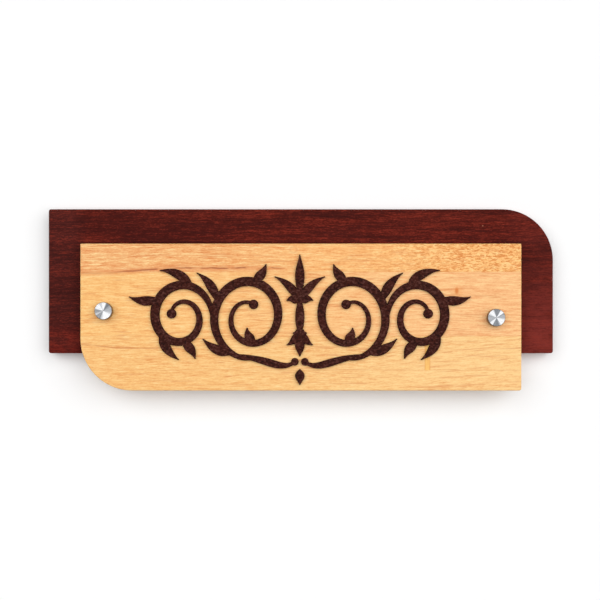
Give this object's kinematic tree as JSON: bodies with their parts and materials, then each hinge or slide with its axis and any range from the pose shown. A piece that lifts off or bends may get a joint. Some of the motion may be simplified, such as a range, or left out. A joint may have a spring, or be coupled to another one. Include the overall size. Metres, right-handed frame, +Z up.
{
  "type": "name plate",
  "caption": "Wall name plate of a light board hung low on a dark board, each with a rounded corner, with raised scrollwork and screw-on spun steel caps over the wall screws.",
  "frame": {"origin": "middle of the back board's rear face, which lies flat on the wall", "axes": "+X to the right seen from the front, +Y into the wall, +Z up; the front faces -Y"},
  "size_m": [0.3556, 0.0571, 0.127],
  "materials": {
    "dark_board": "red-brown stained hardwood, satin varnish",
    "pale_board": "edge-glued light hardwood panel, satin varnish",
    "scrollwork": "dark brown stained sheet, matt, with darker cut edges",
    "cap_steel": "spun stainless steel with a circular brushed top",
    "washer_nylon": "thin soft nylon",
    "screw_steel": "zinc-plated steel",
    "plug_nylon": "grey moulded nylon"
  },
  "bodies": {
    "root": {"back_board": "dark_board", "face_board": "pale_board", "left_scroll": "scrollwork", "right_scroll": "scrollwork", "centre_palmette": "scrollwork", "base_drop": "scrollwork", "left_wall_screw": "screw_steel", "right_wall_screw": "screw_steel", "left_wall_plug": "plug_nylon", "right_wall_plug": "plug_nylon", "joining_screw_upper_left": "screw_steel", "joining_screw_upper_right": "screw_steel", "joining_screw_lower_left": "screw_steel", "joining_screw_lower_right": "screw_steel"},
    "left_washer": {"left_cap_washer": "washer_nylon"},
    "left_cap": {"left_cap": "cap_steel"},
    "right_washer": {"right_cap_washer": "washer_nylon"},
    "right_cap": {"right_cap": "cap_steel"}
  },
  "joints": [
    {"name": "left_cap_travel", "type": "slide", "parent": "root", "child": "left_washer", "axis": [0, -1, 0], "range_m": [0, 0.005]},
    {"name": "left_cap_turn", "type": "hinge", "parent": "left_washer", "child": "left_cap", "pos_m": [-0.1354, -0.0246, -0.0212], "axis": [0, -1, 0], "range_deg": [0, 3600]},
    {"name": "right_cap_travel", "type": "slide", "parent": "root", "child": "right_washer", "axis": [0, -1, 0], "range_m": [0, 0.005]},
    {"name": "right_cap_turn", "type": "hinge", "parent": "right_washer", "child": "right_cap", "pos_m": [0.134, -0.0246, -0.0258], "axis": [0, -1, 0], "range_deg": [0, 3600]}
  ],
  "couplings": [
    {"joint": "left_cap_travel", "follows": "left_cap_turn", "m_per_rad": 0.000079577},
    {"joint": "right_cap_travel", "follows": "right_cap_turn", "m_per_rad": 0.000079577}
  ]
}
